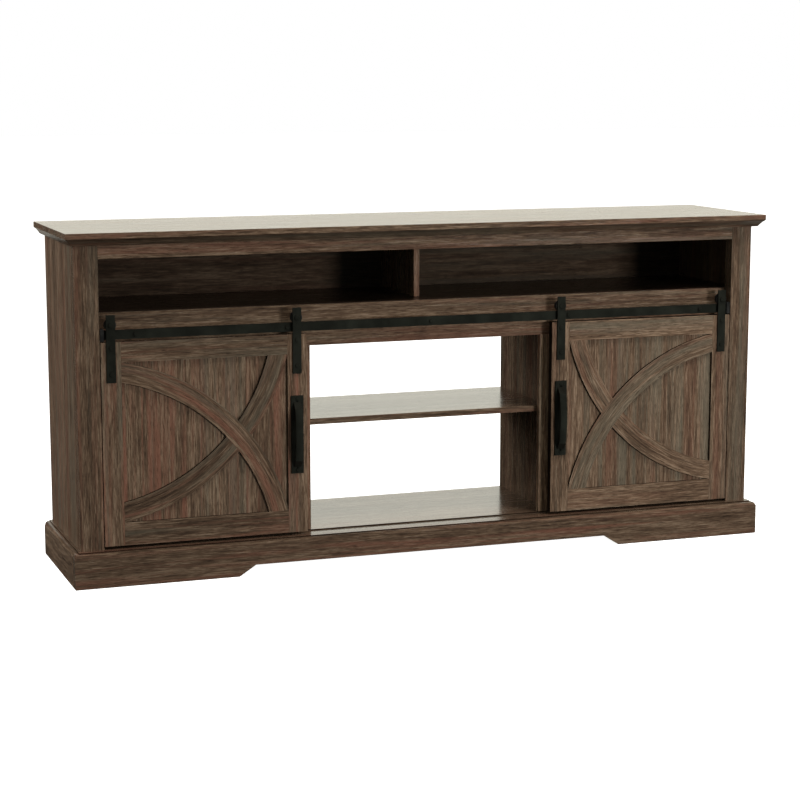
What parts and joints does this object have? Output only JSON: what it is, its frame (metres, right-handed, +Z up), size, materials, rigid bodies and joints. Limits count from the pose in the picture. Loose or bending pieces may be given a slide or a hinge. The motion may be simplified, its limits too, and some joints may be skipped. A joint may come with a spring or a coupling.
{
  "type": "tv stand with doors",
  "caption": "Long wood-grain media stand with a moulded top, open cubbies, an open middle bay with a shelf, and sliding barn doors on a black steel track.",
  "frame": {"origin": "centre of the bounding box's bottom face, on the floor", "axes": "+X along the stand's length to its right as seen from the front, -Y out of the front, +Z up"},
  "size_m": [1.8, 0.41, 0.831],
  "materials": {
    "walnut_laminate": "dark walnut wood-grain laminate, satin",
    "door_laminate": "dark walnut wood-grain laminate, satin",
    "back_board": "thin printed board, matt",
    "black_steel": "satin black powder coat",
    "pin_steel": "zinc plated",
    "stop_rubber": "black rubber",
    "wheel_plastic": "black nylon"
  },
  "bodies": {
    "cabinet": {"top_panel": "walnut_laminate", "side_panel_left": "walnut_laminate", "side_panel_right": "walnut_laminate", "front_stile_left": "walnut_laminate", "front_stile_right": "walnut_laminate", "top_rail": "walnut_laminate", "track_rail": "walnut_laminate", "cubby_deck": "walnut_laminate", "cubby_divider": "walnut_laminate", "inner_stile_left": "walnut_laminate", "inner_stile_right": "walnut_laminate", "divider_left": "walnut_laminate", "divider_right": "walnut_laminate", "bottom_panel": "walnut_laminate", "plinth_front": "walnut_laminate", "plinth_left": "walnut_laminate", "plinth_right": "walnut_laminate", "base_rear_rail": "walnut_laminate", "back_panel_upper": "back_board", "back_panel_left": "back_board", "back_panel_right": "back_board", "center_shelf": "walnut_laminate", "side_shelf_left": "walnut_laminate", "side_shelf_right": "walnut_laminate", "shelf_pins": "pin_steel", "track_left": "black_steel", "track_right": "black_steel", "track_spacers": "black_steel", "track_bolts": "black_steel", "track_end_stops": "stop_rubber"},
    "left_door": {"left_door_panel": "door_laminate", "left_door_stile_inner": "door_laminate", "left_door_stile_outer": "door_laminate", "left_door_rail_top": "door_laminate", "left_door_rail_bottom": "door_laminate", "left_door_brace_long": "door_laminate", "left_door_short_braces": "door_laminate", "left_door_hanger_straps": "black_steel", "left_door_hanger_screws": "black_steel", "left_door_wheel_axles": "black_steel", "left_door_handle_plate": "black_steel", "left_door_handle_grip": "black_steel", "left_door_handle_screws": "black_steel"},
    "left_wheel_inner": {"left_wheel_inner": "wheel_plastic"},
    "left_wheel_outer": {"left_wheel_outer": "wheel_plastic"},
    "right_door": {"right_door_panel": "door_laminate", "right_door_stile_inner": "door_laminate", "right_door_stile_outer": "door_laminate", "right_door_rail_top": "door_laminate", "right_door_rail_bottom": "door_laminate", "right_door_brace_long": "door_laminate", "right_door_short_braces": "door_laminate", "right_door_hanger_straps": "black_steel", "right_door_hanger_screws": "black_steel", "right_door_wheel_axles": "black_steel", "right_door_handle_plate": "black_steel", "right_door_handle_grip": "black_steel", "right_door_handle_screws": "black_steel"},
    "right_wheel_inner": {"right_wheel_inner": "wheel_plastic"},
    "right_wheel_outer": {"right_wheel_outer": "wheel_plastic"}
  },
  "joints": [
    {"name": "left_door_slide", "type": "slide", "parent": "cabinet", "child": "left_door", "axis": [1, 0, 0], "range_m": [0, 0.314]},
    {"name": "left_wheel_inner_roll", "type": "hinge", "parent": "left_door", "child": "left_wheel_inner", "pos_m": [-0.3445, -0.1685, 0.6153], "axis": [0, 1, 0], "range_deg": [-10, 1530]},
    {"name": "left_wheel_outer_roll", "type": "hinge", "parent": "left_door", "child": "left_wheel_outer", "pos_m": [-0.794, -0.1685, 0.6153], "axis": [0, 1, 0], "range_deg": [-10, 1530]},
    {"name": "right_door_slide", "type": "slide", "parent": "cabinet", "child": "right_door", "axis": [-1, 0, 0], "range_m": [0, 0.314]},
    {"name": "right_wheel_inner_roll", "type": "hinge", "parent": "right_door", "child": "right_wheel_inner", "pos_m": [0.3445, -0.1685, 0.6153], "axis": [0, -1, 0], "range_deg": [-10, 1530]},
    {"name": "right_wheel_outer_roll", "type": "hinge", "parent": "right_door", "child": "right_wheel_outer", "pos_m": [0.794, -0.1685, 0.6153], "axis": [0, -1, 0], "range_deg": [-10, 1530]}
  ],
  "couplings": [
    {"joint": "left_wheel_inner_roll", "follows": "left_door_slide", "rad_per_m": 83.333},
    {"joint": "left_wheel_outer_roll", "follows": "left_door_slide", "rad_per_m": 83.333},
    {"joint": "right_wheel_inner_roll", "follows": "right_door_slide", "rad_per_m": 83.333},
    {"joint": "right_wheel_outer_roll", "follows": "right_door_slide", "rad_per_m": 83.333}
  ]
}
